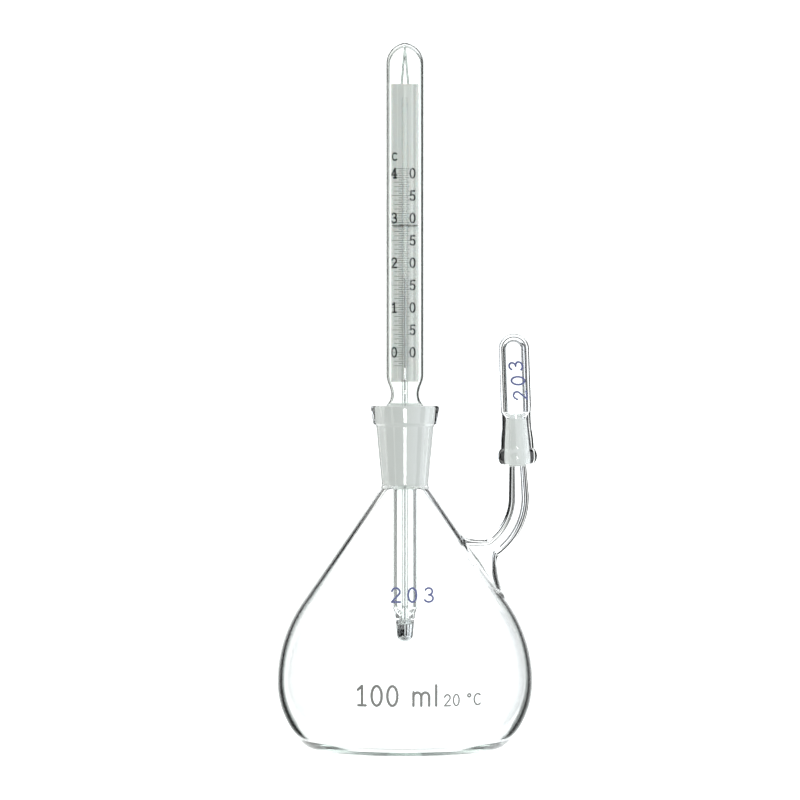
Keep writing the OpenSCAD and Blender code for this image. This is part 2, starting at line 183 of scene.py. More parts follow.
def rounded(points, radius, n=5):
    """An open outline with its inner corners rounded."""
    out = [points[0]]
    for before, corner, after in zip(points, points[1:], points[2:]):
        b, c, a = Vector(before), Vector(corner), Vector(after)
        reach = min(radius, (b - c).length / 2.1, (a - c).length / 2.1)
        p = c + (b - c).normalized() * reach
        q = c + (a - c).normalized() * reach
        for i in range(n + 1):
            t = i / n
            out.append(tuple(p * (1 - t) ** 2 + c * 2 * t * (1 - t) + q * t * t))
    return out + [points[-1]]


def radius_at(outline, z):
    """Radius of an outline at a height."""
    for (r0, z0), (r1, z1) in zip(outline, outline[1:]):
        if min(z0, z1) <= z <= max(z0, z1) and z0 != z1:
            return r0 + (r1 - r0) * (z - z0) / (z1 - z0)
    raise ValueError(f"the outline has no height {z}")


# Edges that bend more than this many degrees are shaded sharp
SHARP = 35


class Shell:
    """Points, faces and finishes of one piece, gathered in millimetres."""

    def __init__(self):
        self.points = []
        self.faces = []
        self.finishes = []

    def ring(self, points):
        start = len(self.points)
        self.points.extend(Vector(p) for p in points)
        return list(range(start, len(self.points)))

    def face(self, corners, finish=CLEAR):
        self.faces.append(tuple(corners))
        self.finishes.append(finish)

    def bridge(self, a, b, finish=CLEAR, skip=(), flip=False):
        """Joins two rings, or a ring and a pole, with the outside on the left of the way."""
        n = max(len(a), len(b))
        for j in range(n):
            if j in skip:
                continue
            k = (j + 1) % n
            if len(a) == 1:
                corners = (a[0], b[k], b[j])
            elif len(b) == 1:
                corners = (a[j], a[k], b[0])
            else:
                corners = (a[j], a[k], b[k], b[j])
            self.face(corners[::-1] if flip else corners, finish)

    def turned(self, outline, segments):
        """Rings of an outline turned round the axis. Points on the axis become poles."""
        rings = []
        for r, z in outline:
            count = segments if r > 1e-6 else 1
            turns = [2 * math.pi * j / segments for j in range(count)]
            rings.append(self.ring([(r * math.cos(t), r * math.sin(t), z) for t in turns]))
        return rings

    def skin(self, rings, finish=lambda i: CLEAR, skip=None, flip=False):
        """Joins a row of rings. Two poles in turn are where a solid wall ends."""
        for i, (a, b) in enumerate(zip(rings, rings[1:])):
            if len(a) > 1 or len(b) > 1:
                self.bridge(a, b, finish(i), (skip or {}).get(i, ()), flip)

    def follow(self, last, rings, finish=CLEAR):
        """Goes on from a ring through new ones, and returns the last."""
        for points in rings:
            new = self.ring(points)
            self.bridge(last, new, finish)
            last = new
        return last

    def build(self, name, materials, place=Matrix.Identity(4)):
        mesh = bpy.data.meshes.new(name)
        mesh.from_pydata([(place @ p) * MM for p in self.points], [], self.faces)
        for look in materials:
            mesh.materials.append(look)
        mesh.polygons.foreach_set("material_index", self.finishes)
        mesh.polygons.foreach_set("use_smooth", [True] * len(mesh.polygons))
        mesh.validate()
        mesh.set_sharp_from_angle(angle=math.radians(SHARP))
        piece = bpy.data.objects.new(name, mesh)
        bpy.context.scene.collection.objects.link(piece)
        return piece


def seat(piece, body, slot, *nodes):
    """Tells the frame what a piece rides on and hides the nodes that it stands for. The slot, which
    names its finish, is not used.
    """
    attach(piece, body)
    if nodes:
        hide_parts(*nodes)
    return piece


def let_light_by(piece):
    """Keeps clear glass from shading the floor, the plate and the frost behind it."""
    piece.visible_diffuse = False
    piece.visible_shadow = False


def add(tree, kind, links=None, **settings):
    """Adds a shader node with its settings, socket values and incoming links."""
    node = tree.nodes.new(kind)
    for key, value in settings.items():
        setattr(node, key, value)
    for socket, value in (links or {}).items():
        if isinstance(value, bpy.types.NodeSocket):
            tree.links.new(value, node.inputs[socket])
        else:
            node.inputs[socket].default_value = value
    return node


def material(name):
    """A new node material, and its tree with only an output."""
    made = bpy.data.materials.new(name)
    made.use_nodes = True
    made.node_tree.nodes.clear()
    return made, made.node_tree, made.node_tree.nodes.new("ShaderNodeOutputMaterial")


def noise_scale(marks):
    """Scale of a noise with this many marks to the millimetre."""
    return marks / MM


# Marks to the millimetre on each finish. Grit of 0.05 mm, die lines of 0.02 mm and enamel grain
# of 0.05 mm are too fine to show at 0.24 mm a pixel, so these three are drawn coarser.
GRIT_MARKS = 6
WIRE_MARKS = 5
ENAMEL_MARKS = 1.4

# The clouds in opal glass are about 4.5 mm wide, and the film on the mercury breaks up at 1.1 mm
OPAL_MARKS = 0.22
FILM_MARKS = 0.9

# Refractive indices of borosilicate glass, and of opal glass and enamel
BOROSILICATE = 1.473
OPAL = 1.5

# Frost of the neck's joint, and the paler one of the cap's
NECK_FROST = "#A1A4A1"
CAP_FROST = "#A9ACA9"


def blown_borosilicate(name, tint, ease_off=0.0, depth=0.0):
    """Flame-worked borosilicate: fire-polished, so both skins are mirror smooth, and an edge
    goes dark where it bends the view round to the flags. Where the glass lies nearly along the
    view, its colour is mixed towards a darker grey-green as painted edge shade. With a depth,
    glass seen edge-on is grey-green, as at the base. With an ease-off, that share of the
    light goes straight through, which keeps a thin tube faint."""
    made, tree, out = material(name)
    # Painted edge shade: the facing mixes the glass's tint towards a darker grey-green where the
    # surface lies nearly along the view
    edge = add(tree, "ShaderNodeLayerWeight", {"Blend": 0.5})
    rim = add(tree, "ShaderNodeMapRange", {
        "Value": edge.outputs["Facing"], "From Min": 0.68, "From Max": 0.98,
    }, interpolation_type="SMOOTHSTEP")
    tint_with_painted_edge_shade = add(tree, "ShaderNodeMix", {
        0: rim.outputs[0], 6: tint, 7: linear("#A9B2AE"),
    }, data_type="RGBA")
    shader = add(tree, "ShaderNodeBsdfPrincipled", {
        "Base Color": tint_with_painted_edge_shade.outputs[2], "Roughness": 0.0, "IOR": BOROSILICATE,
        "Transmission Weight": 1.0,
    })
    if ease_off:
        clear = add(tree, "ShaderNodeBsdfTransparent")
        shader = add(tree, "ShaderNodeMixShader", {
            0: ease_off, 1: shader.outputs[0], 2: clear.outputs[0],
        })
    tree.links.new(shader.outputs[0], out.inputs["Surface"])
    if depth:
        body = add(tree, "ShaderNodeVolumeAbsorption", {"Color": linear("#DAE2DE"), "Density": depth})
        tree.links.new(body.outputs[0], out.inputs["Volume"])
    return made


def ground_borosilicate(name, tint):
    """Borosilicate ground with fine grit: an even grey-white frost that hides what is behind."""
    made, tree, out = material(name)
    place = add(tree, "ShaderNodeTexCoord")
    grit = add(tree, "ShaderNodeTexNoise", {
        "Vector": place.outputs["Object"], "Scale": noise_scale(GRIT_MARKS), "Detail": 2.0,
    })
    bump = add(tree, "ShaderNodeBump", {
        "Height": grit.outputs[0], "Strength": 0.25, "Distance": 0.03 * MM,
    })
    shader = add(tree, "ShaderNodeBsdfPrincipled", {
        "Base Color": tint, "Roughness": 0.6, "IOR": BOROSILICATE, "Transmission Weight": 0.25,
        "Normal": bump.outputs[0],
    })
    tree.links.new(shader.outputs[0], out.inputs["Surface"])
    return made


def opal_glass(name, tint):
    """Flashed opal glass, fire-polished: a milky body with light scattered inside and a soft gloss."""
    made, tree, out = material(name)
    place = add(tree, "ShaderNodeTexCoord")
    milk = add(tree, "ShaderNodeTexNoise", {
        "Vector": place.outputs["Object"], "Scale": noise_scale(OPAL_MARKS), "Detail": 3.0,
    })
    ramp = add(tree, "ShaderNodeMapRange", {"Value": milk.outputs[0], "To Min": 0.28, "To Max": 0.36})
    shader = add(tree, "ShaderNodeBsdfPrincipled", {
        "Base Color": tint, "Roughness": ramp.outputs[0], "IOR": OPAL,
        "Subsurface Weight": 0.25, "Subsurface Scale": 0.4 * MM,
    })
    tree.links.new(shader.outputs[0], out.inputs["Surface"])
    return made


def fired_enamel(name, tint, patchy=0.0):
    """Vitreous enamel, printed and fired on: thin, matt and slightly uneven in its cover."""
    made, tree, out = material(name)
    place = add(tree, "ShaderNodeTexCoord")
    cover = add(tree, "ShaderNodeTexNoise", {
        "Vector": place.outputs["Object"], "Scale": noise_scale(ENAMEL_MARKS), "Detail": 3.0,
    })
    pale = tuple(min(1.0, c + patchy) for c in tint[:3]) + (1.0,)
    blend = add(tree, "ShaderNodeMix", {0: cover.outputs[0], 6: tint, 7: pale}, data_type="RGBA")
    shader = add(tree, "ShaderNodeBsdfPrincipled", {
        "Base Color": blend.outputs[2], "Roughness": 0.55, "IOR": OPAL,
    })
    tree.links.new(shader.outputs[0], out.inputs["Surface"])
    return made


def clean_mercury(name):
    """Mercury: a liquid metal mirror, so it shows the black flags and the white surround."""
    made, tree, out = material(name)
    place = add(tree, "ShaderNodeTexCoord")
    film = add(tree, "ShaderNodeTexNoise", {
        "Vector": place.outputs["Object"], "Scale": noise_scale(FILM_MARKS),
    })
    ramp = add(tree, "ShaderNodeMapRange", {"Value": film.outputs[0], "To Min": 0.02, "To Max": 0.06})
    shader = add(tree, "ShaderNodeBsdfPrincipled", {
        "Base Color": linear("#C9CACC"), "Metallic": 1.0, "Roughness": ramp.outputs[0],
    })
    tree.links.new(shader.outputs[0], out.inputs["Surface"])
    return made


def drawn_steel(name):
    """Drawn steel wire: grey, with a dull gloss that varies along its length."""
    made, tree, out = material(name)
    place = add(tree, "ShaderNodeTexCoord")
    lines = add(tree, "ShaderNodeTexNoise", {
        "Vector": place.outputs["Object"], "Scale": noise_scale(WIRE_MARKS),
    })
    ramp = add(tree, "ShaderNodeMapRange", {"Value": lines.outputs[0], "To Min": 0.3, "To Max": 0.45})
    shader = add(tree, "ShaderNodeBsdfPrincipled", {
        "Base Color": linear("#6E6F6C"), "Metallic": 1.0, "Roughness": ramp.outputs[0],
    })
    tree.links.new(shader.outputs[0], out.inputs["Surface"])
    return made


# Flags, all in degrees: turn round Z from +Y, half width and half height of the hole, rim, first
# and last bearing round the middle. Then the greys at the hole and further out, and whether the
# flag also shows in reflections.
FLAGS = [
    ("back_left", 0, (18, 17), 42, (90, 230), "#A8A8A8", "#121212", True),
    ("back_right", 0, (18, 17), 45, (-50, 90), "#B0B0B0", "#3C3C3C", True),
    ("left", 90, (8, 14), 42, (-90, 270), "#303030", "#080808", True),
    ("right_back", -85, (22, 34), 45, (90, 235), "#404040", "#181818", True),
    ("right_front", -85, (22, 34), 42, (-55, 90), "#707070", "#404040", True),
    ("front_left", 180, (9, 28), 44, (-90, 90), "#202020", "#070707", True),
    ("left_corner", 135, (0, 0), 26, (0, 360), "#070707", "#070707", False),
    ("front_right", 180, (9, 28), 42, (90, 270), "#404040", "#181818", False),
]
FLAG_REACH = 1500
FLAG_MIDDLE_Z = 85
FLAG_FADE = 12
FLAG_AROUND = 72
FLAG_ALONG = 24

# The floor lies a little under the base, so that the two never share a plane
FLOOR_REACH = 4000
FLOOR_DROP = 0.02

STRIP_Y = -1200
STRIP_HALF_W = 130
STRIP_FOOT_Z = -560
STRIP_TOP_Z = 78
STRIP_GLOW = 16.0


class PYCNOMETER_OT_stage(bpy.types.Operator):
    """Adds the floor, the light, the dark flags and the camera"""
    bl_idname = "pycnometer.stage"
    bl_label = "Stage"

    def execute(self, context):
        scene = context.scene
        s = scene.pycnometer_stage
        camera = bpy.data.objects.new("camera", bpy.data.cameras.new("camera"))
        scene.collection.objects.link(camera)
        camera.location = (s.camera_x, -s.camera_y, s.camera_z)
        camera.rotation_euler = (math.radians(90), 0, 0)
        camera.data.lens = s.lens
        camera.data.sensor_width = 36
        camera.data.clip_start = 0.01
        camera.data.clip_end = 50
        scene.camera = camera
        scene.world = self.surround(s)
        scene.view_settings.view_transform = "Standard"
        scene.view_settings.look = "None"
        # Light crosses many skins of glass here, one inside another
        scene.cycles.max_bounces = 40
        scene.cycles.transmission_bounces = 40
        scene.cycles.glossy_bounces = 24
        scene.cycles.diffuse_bounces = 4
        scene.cycles.transparent_max_bounces = 24
        scene.cycles.sample_clamp_indirect = 4.0

        far = FLOOR_REACH
        floor = self.sheet("floor", [
            (-far, -far, -FLOOR_DROP), (far, -far, -FLOOR_DROP), (far, far, -FLOOR_DROP),
            (-far, far, -FLOOR_DROP),
        ], self.paper())
        self.only(floor, "camera", "diffuse", "shadow")
        for flag in FLAGS:
            self.flag(*flag)
        self.strip()
        return {"FINISHED"}

    def surround(self, s):
        """White all round, brighter overhead and dim far below, a little greener at the left and
        bluer at the right."""
        world = bpy.data.worlds.new("white_surround")
        world.use_nodes = True
        tree = world.node_tree
        glow = tree.nodes["Background"]
        place = add(tree, "ShaderNodeTexCoord")
        axes = add(tree, "ShaderNodeSeparateXYZ", {"Vector": place.outputs["Generated"]})
        rise = add(tree, "ShaderNodeMapRange", {
            "Value": axes.outputs["Z"], "To Min": s.level, "To Max": s.overhead,
        })
        sink = add(tree, "ShaderNodeMapRange", {
            "Value": axes.outputs["Z"], "From Min": -1.0, "From Max": -0.6, "To Min": 0.15,
        })
        across = add(tree, "ShaderNodeMapRange", {"Value": axes.outputs["X"], "From Min": -1.0})
        lean = add(tree, "ShaderNodeMapRange", {
            "Value": axes.outputs["X"], "From Min": -1.0, "To Min": 0.75, "To Max": 1.25,
        })
        sides = add(tree, "ShaderNodeMath", {
            0: sink.outputs[0], 1: lean.outputs[0],
        }, operation="MULTIPLY")
        level = add(tree, "ShaderNodeMath", {
            0: rise.outputs[0], 1: sides.outputs[0],
        }, operation="MULTIPLY")
        tint = add(tree, "ShaderNodeMix", {
            0: across.outputs[0], 6: linear("#FEFFFA"), 7: linear("#F6FAFF"),
        }, data_type="RGBA")
        tree.links.new(tint.outputs[2], glow.inputs["Color"])
        tree.links.new(level.outputs[0], glow.inputs["Strength"])
        return world

    def paper(self):
        """Matt white paper: no gloss, and a trace of light of its own to stay clean white."""
        made, tree, out = material("matt_white_paper")
        shader = add(tree, "ShaderNodeBsdfPrincipled", {
            "Base Color": linear("#FDFDFD"), "Roughness": 0.9, "Specular IOR Level": 0.0,
            "Emission Color": (1, 1, 1, 1), "Emission Strength": 0.06,
        })
        tree.links.new(shader.outputs[0], out.inputs["Surface"])
        return made

    def sheet(self, name, corners, look):
        shell = Shell()
        shell.face(shell.ring(corners))
        sheet = shell.build(name, [look])
        return sheet

    def flag(self, label, turn, hole, rim, bearings, near, far, mirrored):
        """A dark cloth flag on a sphere round the object, with a hole in its middle."""
        made, tree, out = material("flag_" + label)
        place = add(tree, "ShaderNodeTexCoord")
        axes = add(tree, "ShaderNodeSeparateXYZ", {"Vector": place.outputs["Object"]})
        start = math.radians(min(hole))
        end = math.radians(min(hole) + FLAG_FADE)
        fade = add(tree, "ShaderNodeMapRange", {
            "Value": axes.outputs["Y"], "From Min": FLAG_REACH * MM * math.cos(start),
            "From Max": FLAG_REACH * MM * math.cos(end),
        }, interpolation_type="SMOOTHSTEP")
        grey = add(tree, "ShaderNodeMix", {
            0: fade.outputs[0], 6: linear(near), 7: linear(far),
        }, data_type="RGBA")
        glow = add(tree, "ShaderNodeEmission", {"Color": grey.outputs[2], "Strength": 1.0})
        tree.links.new(glow.outputs[0], out.inputs["Surface"])
        shell = Shell()
        rows = []
        for i in range(FLAG_AROUND + 1):
            bearing = math.radians(bearings[0] + (bearings[1] - bearings[0]) * i / FLAG_AROUND)
            across = math.cos(bearing)
            up = math.sin(bearing)
            inner = 0.0
            if min(hole) > 0:
                inner = 1 / math.hypot(across / hole[0], up / hole[1])
            row = []
            for k in range(FLAG_ALONG + 1):
                tilt = math.radians(inner + (rim - inner) * k / FLAG_ALONG)
                out_r = FLAG_REACH * math.sin(tilt)
                row.append((out_r * across, FLAG_REACH * math.cos(tilt), out_r * up))
            rows.append(shell.ring(row))
        for a, b in zip(rows, rows[1:]):
            for k in range(FLAG_ALONG):
                shell.face((a[k], b[k], b[k + 1], a[k + 1]))
        flag = shell.build("flag_" + label, [made])
        flag.location.z = FLAG_MIDDLE_Z * MM
        flag.rotation_euler.z = math.radians(turn)
        self.only(flag, "transmission", "glossy" if mirrored else "")

    def only(self, sheet, *kinds):
        """Leaves a sheet visible to these kinds of rays alone."""
        for name in ("camera", "diffuse", "glossy", "transmission", "shadow"):
            setattr(sheet, "visible_" + name, name in kinds)

    def strip(self):
        """A low strip light behind the camera, for the long white highlight on upright glass."""
        made, tree, out = material("strip_light")
        glow = add(tree, "ShaderNodeEmission", {"Color": (1, 1, 1, 1), "Strength": STRIP_GLOW})
        tree.links.new(glow.outputs[0], out.inputs["Surface"])
        strip = self.sheet("strip", [
            (-STRIP_HALF_W, STRIP_Y, STRIP_FOOT_Z), (STRIP_HALF_W, STRIP_Y, STRIP_FOOT_Z),
            (STRIP_HALF_W, STRIP_Y, STRIP_TOP_Z), (-STRIP_HALF_W, STRIP_Y, STRIP_TOP_Z),
        ], made)
        self.only(strip, "glossy")


SHOULDER = math.radians(35)
INNER_HEEL_R = 5
NECK_FILLET = 2.4
RIM_H = 0.3
RIM_W = 1.6
SEGMENTS = 256

# Below this height the glass is seen edge-on, as the grey-green base, and takes light away
THICK_Z = 12
THICK_DEPTH = 40.0


class Flask:
    """Heights and radii that the flask's outline, the arm and the marks share."""

    def __init__(self, s):
        self.r = s.bulb_d / MM / 2
        self.mid, self.belly, self.heel, self.shoulder, self.wall, self.base, self.joint_l = in_mm(
            s, "bulb_mid_z", "belly_r", "heel_r", "shoulder_r", "wall", "base_wall", "joint_l")
        self.belly_x = self.r - self.belly
        self.shoulder_x = self.r - self.shoulder
        self.top_r = self.shoulder_x + self.shoulder * math.cos(SHOULDER)
        self.top_z = self.mid + self.shoulder * math.sin(SHOULDER)
        self.joint_r = s.joint_d / MM / 2
        self.foot_r = self.joint_r - TAPER * self.joint_l / 2
        self.foot_z = self.shoulder_z(self.foot_r + self.wall / math.cos(SHOULDER))
        self.joint_top = self.foot_z + self.joint_l
        self.rim = self.joint_top + RIM_H
        self.collar_z = self.rim - s.collar_h / MM
        self.collar_r = s.collar_d / MM / 2
        self.neck_foot_r = s.neck_foot_d / MM / 2
        self.neck_top_r = s.neck_top_d / MM / 2
        self.neck_foot_z = self.shoulder_z(self.neck_foot_r)

    def shoulder_z(self, r):
        return self.top_z + (self.top_r - r) / math.tan(SHOULDER)

    def belly_and_shoulder(self, floor, heel, wall):
        """Outline from the centre of the base to the end of the shoulder's arc, inside a wall."""
        belly = self.belly - wall
        heel_z = floor + heel
        heel_x = self.belly_x + math.sqrt((belly - heel) ** 2 - (self.mid - heel_z) ** 2)
        heel_end = math.degrees(math.atan2(heel_z - self.mid, heel_x - self.belly_x))
        return (
            [(0, floor)] + line((0, floor), (heel_x, floor), 4)
            + arc(heel_x, heel_z, heel, -90, heel_end, 3)[1:]
            + arc(self.belly_x, self.mid, belly, heel_end, 0)[1:]
            + arc(self.shoulder_x, self.mid, self.shoulder - wall, 0, math.degrees(SHOULDER), 1.5)[1:]
        )

    def outside(self):
        slope = math.atan2(self.neck_top_r - self.neck_foot_r, self.collar_z - self.neck_foot_z)
        back = NECK_FILLET * math.tan((SHOULDER + slope) / 2)
        fx = self.neck_foot_r + back * math.sin(slope) + NECK_FILLET * math.cos(slope)
        fz = self.neck_foot_z + back * math.cos(slope) - NECK_FILLET * math.sin(slope)
        bend = arc(fx, fz, NECK_FILLET, 180 + math.degrees(SHOULDER), 180 - math.degrees(slope), 5)
        collar = rounded([
            (self.neck_top_r - 0.15, self.collar_z - 1.2),
            (self.neck_top_r, self.collar_z),
            (self.collar_r - 0.6, self.collar_z + 0.4),
            (self.collar_r, self.rim - 0.5),
            (self.collar_r - 0.15, self.rim),
            (self.joint_r + RIM_W, self.rim),
        ], 0.45)
        low = self.belly_and_shoulder(0, self.heel, 0)
        return low + line(low[-1], bend[0]) + bend[1:] + line(bend[-1], collar[0], 1.5) + collar[1:]

    def inside(self):
        low = self.belly_and_shoulder(self.base, INNER_HEEL_R, self.wall)
        return low + line(low[-1], (self.foot_r, self.foot_z))

    def socket(self):
        """The ground socket, and the rim that rounds it off."""
        ground = line((self.foot_r, self.foot_z), (self.joint_r, self.joint_top))
        rim = rounded([
            (self.joint_r + 0.02, self.joint_top + 0.02), (self.joint_r + RIM_H, self.rim),
            (self.joint_r + RIM_W, self.rim),
        ], 0.2)
        return ground, rim


ARM_SEGMENTS = 72
ARM_ROOT_Z = 45.9
ARM_ROOT_L = 4.2
ARM_BEND_R = 14.8
ARM_BEND_RINGS = 28
ARM_LEAN = 1.9
ARM_RISE = 7.5
ARM_TOP_D = 4.15
ARM_LEAD = 0.4
TIP_BORE_R = 0.6
TIP_EDGE = 0.12

# How much wider than its setting the bore is at the bend's two ends, top and root, in radius
TOP_EASE = 0.15
ROOT_EASE = 0.2

# The trumpet at the arm's root: radii at its foot, outside and inside, how far it reaches
# further down the shoulder, and how closely it follows the shoulder before it rises
FLARE_R = 6.4
BORE_FLARE_R = 5.2
FLARE_SKIRT = 5.8
FLARE_HUG = 0.6


class ArmPath:
    """Centre line of the side arm, from the shoulder to its tip."""

    def __init__(self, flask):
        a = SHOULDER
        self.out = Vector((math.cos(a), 0, math.sin(a)))
        self.down = Vector((math.sin(a), 0, -math.cos(a)))
        self.root = Vector((flask.top_r - (ARM_ROOT_Z - flask.top_z) * math.tan(a), 0, ARM_ROOT_Z))
        self.turn = math.radians(90 + ARM_LEAN) - a
        self.centre = self.root + ARM_ROOT_L * self.out - ARM_BEND_R * self.down
        self.end = self.centre + ARM_BEND_R * self.side(self.turn)
        self.axis = self.out * math.cos(self.turn) - self.down * math.sin(self.turn)

    def side(self, turn):
        return self.down * math.cos(turn) + self.out * math.sin(turn)

    def ring(self, centre, side, r):
        return [centre + r * (side * math.cos(t) + Vector((0, math.sin(t), 0)))
                for t in (2 * math.pi * j / ARM_SEGMENTS for j in range(ARM_SEGMENTS))]

    def bend_ring(self, share, r):
        side = self.side(self.turn * share)
        return self.ring(self.centre + ARM_BEND_R * side, side, r)

    def end_rings(self, outline):
        """Rings of the straight end, from radii and heights above the bend."""
        return [self.ring(self.end + z * self.axis, self.side(self.turn), r) for r, z in outline]

    def on_shoulder(self, depth, u, v):
        """Point of the shoulder's cone, a depth under its outer skin."""
        root = self.root - depth * self.out
        across = root.x + u * math.sin(SHOULDER)
        b = 2 * across / math.cos(SHOULDER)
        c = math.cos(2 * SHOULDER) / math.cos(SHOULDER) ** 2
        w = (-b + math.sqrt(b * b - 4 * c * v * v)) / 2 / c
        return root + u * self.down + Vector((0, v, 0)) + w * self.out

    def flare(self, depth, foot, top_r, rings=14):
        """Rings of the trumpet from the shoulder's skin to the foot of the bend."""
        made = [[] for _ in range(rings + 1)]
        for j in range(ARM_SEGMENTS):
            t = 2 * math.pi * j / ARM_SEGMENTS
            c, s = math.cos(t), math.sin(t)
            reach = foot + FLARE_SKIRT * max(0, c) ** 2
            hug = FLARE_HUG + 0.4 * max(0, c)
            start = self.on_shoulder(depth, reach * c, reach * s)
            nearer = reach - 0.05
            inward = (self.on_shoulder(depth, nearer * c, nearer * s) - start).normalized()
            end = self.root + ARM_ROOT_L * self.out + top_r * (c * self.down + Vector((0, s, 0)))
            lead = hug * (reach - top_r) * inward
            rise = hug * (ARM_ROOT_L + depth) * self.out
            for k in range(rings + 1):
                x = k / rings
                made[k].append(
                    start * (2 * x ** 3 - 3 * x ** 2 + 1) + lead * (x ** 3 - 2 * x ** 2 + x)
                    + end * (3 * x ** 2 - 2 * x ** 3) + rise * (x ** 3 - x ** 2))
        return made


# Room round the arm's edge in which the shoulder's skin is fitted to it, the least radius that
# counts as shoulder, and how near a point of the lathe's own rings may come to the edge
FIT_MARGIN = 0.8
FIT_LEAST_R = 5
FIT_CLEAR = 0.35
FIT_FLAT_R = 18


def open_shoulder(shell, rings, outline, edge, flip=False):
    """Fits the shoulder's skin to the arm's edge. Returns that edge, and the faces of the turned
    skin that it takes the place of."""
    zs = [p.z for p in edge]
    low = min(zs) - FIT_MARGIN
    high = max(zs) + FIT_MARGIN
    span = math.atan2(max(p.y for p in edge), min(p.x for p in edge)) + 0.05
    columns = math.ceil(span / (2 * math.pi / SEGMENTS))
    rows = [i for i, (r, z) in enumerate(outline) if low <= z <= high and r > FIT_LEAST_R]
    first = min(rows) - 1
    last = max(rows) + 1

    def flat(p):
        return Vector((math.atan2(p.y, p.x) * FIT_FLAT_R, p.z))

    border = (
        [(first, j) for j in range(-columns, columns)]
        + [(i, columns) for i in range(first, last)]
        + [(last, j) for j in range(columns, -columns, -1)]
        + [(i, -columns) for i in range(last, first, -1)]
    )
    hole = [flat(p) for p in edge]
    middle = sum(hole, Vector((0, 0))) / len(hole)

    def beyond(p):
        """How far a flat point lies outside the arm's edge."""
        best = min(hole, key=lambda h: (h - p).length)
        return (p - middle).length - (best - middle).length

    keys = [rings[i][j % SEGMENTS] for i, j in border]
    for i in range(first + 1, last):
        for j in range(-columns + 1, columns):
            key = rings[i][j % SEGMENTS]
            if beyond(flat(shell.points[key])) > FIT_CLEAR:
                keys.append(key)
    edge_keys = shell.ring(edge)
    ids = keys + edge_keys
    flats = [flat(shell.points[i]) for i in ids]
    n = len(border)
    m = len(keys)
    edges = [(i, (i + 1) % n) for i in range(n)]
    edges += [(m + i, m + (i + 1) % len(edge)) for i in range(len(edge))]
    _, _, faces, origins, _, _ = delaunay_2d_cdt(flats, edges, [list(range(n))], 1, 1e-7)
    for corners in faces:
        own = [origins[c][0] for c in corners]
        centre = sum((flats[c] for c in own), Vector((0, 0))) / len(own)
        if beyond(centre) >= 0 or all(c < m for c in own):
            shell.face([ids[c] for c in (reversed(own) if flip else own)])
    skip = {i: {j % SEGMENTS for j in range(-columns, columns)} for i in range(first, last)}
    return edge_keys, skip


class PYCNOMETER_OT_flask(bpy.types.Operator):
    """Adds the blown flask with its neck, collar and side arm"""
    bl_idname = "pycnometer.flask"
    bl_label = "Flask"

    def execute(self, context):
        s = context.scene.pycnometer_flask
        flask = Flask(s)
        arm = ArmPath(flask)
        shell = Shell()
        outside = flask.outside()
        inside = flask.inside()
        socket, rim = flask.socket()
        bore = inside + socket + rim[:-1]
        arm_r = s.arm_d / MM / 2
        bore_r = s.arm_bore_d / MM / 2
        outer_flare = arm.flare(0, FLARE_R, arm_r)
        inner_flare = arm.flare(flask.wall, BORE_FLARE_R, bore_r + ROOT_EASE)

        def finish(outline, ground=()):
            return lambda i: GROUND if i in ground else THICK if outline[i + 1][1] < THICK_Z else CLEAR

        # Both discs at the middle of the base are made here and again with the skin, and
        # Blender's mesh check keeps one face of each two
        outer_rings = shell.turned(outside, SEGMENTS)
        shell.bridge(outer_rings[0], outer_rings[1])
        outer_edge, skip = open_shoulder(shell, outer_rings, outside, outer_flare[0])
        shell.skin(outer_rings, finish(outside), skip)
        inner_rings = shell.turned(bore, SEGMENTS)
        shell.bridge(inner_rings[0], inner_rings[1])
        inner_edge, skip = open_shoulder(shell, inner_rings, bore, inner_flare[0], flip=True)
        ground = range(len(inside) - 1, len(inside) - 1 + len(socket))
        shell.skin(inner_rings, finish(bore, ground), skip, flip=True)
        shell.bridge(outer_rings[-1], inner_rings[-1])

        count = ARM_BEND_RINGS
        top_r = ARM_TOP_D / 2
        foot = ARM_RISE - ARM_LEAD
        tip = foot + CAP_JOINT_L
        foot_r = (CAP_JOINT_D + TAPER * 0.5) / 2 - GROUND_GAP
        tip_r = foot_r - (tip - foot) * TAPER / 2
        last = shell.follow(outer_edge, outer_flare[1:])
        last = shell.follow(last, [arm.bend_ring(i / count, arm_r) for i in range(1, count + 1)])
        last = shell.follow(last, arm.end_rings(
            line((arm_r, 0), (top_r, ARM_RISE))[:-1] + [(top_r, ARM_RISE - 0.5), (foot_r, foot)]))
        last = shell.follow(last, arm.end_rings(line((foot_r, foot), (tip_r, tip))), GROUND)
        last = shell.follow(last, arm.end_rings(
            [(tip_r - 0.15, tip + TIP_EDGE), (0.8, tip + TIP_EDGE), (TIP_BORE_R, tip)]
            + line((TIP_BORE_R, tip), (bore_r + TOP_EASE, 0), 0.95)))
        last = shell.follow(last, [
            arm.bend_ring(1 - i / count, bore_r + TOP_EASE + (ROOT_EASE - TOP_EASE) * i / count)
            for i in range(1, count)])
        last = shell.follow(last, inner_flare[:0:-1])
        shell.bridge(last, inner_edge)

        piece = shell.build("flask_glass", [
            blown_borosilicate("borosilicate_blown", s.glass),
            ground_borosilicate("borosilicate_ground", linear(NECK_FROST)),
            blown_borosilicate("borosilicate_blown_base", s.glass, depth=THICK_DEPTH),
        ])
        let_light_by(seat(piece, "flask", "borosilicate_glass", "flask"))
        return {"FINISHED"}


OGIVE = 1.12
CONE_WALL = 0.8
WAIST_RISE = 3.1
WAIST_H = 4.6
STEM_FOOT_R = 2.35
STEM_FOOT_H = 3.4
SEAL_LIP_R = 2.2


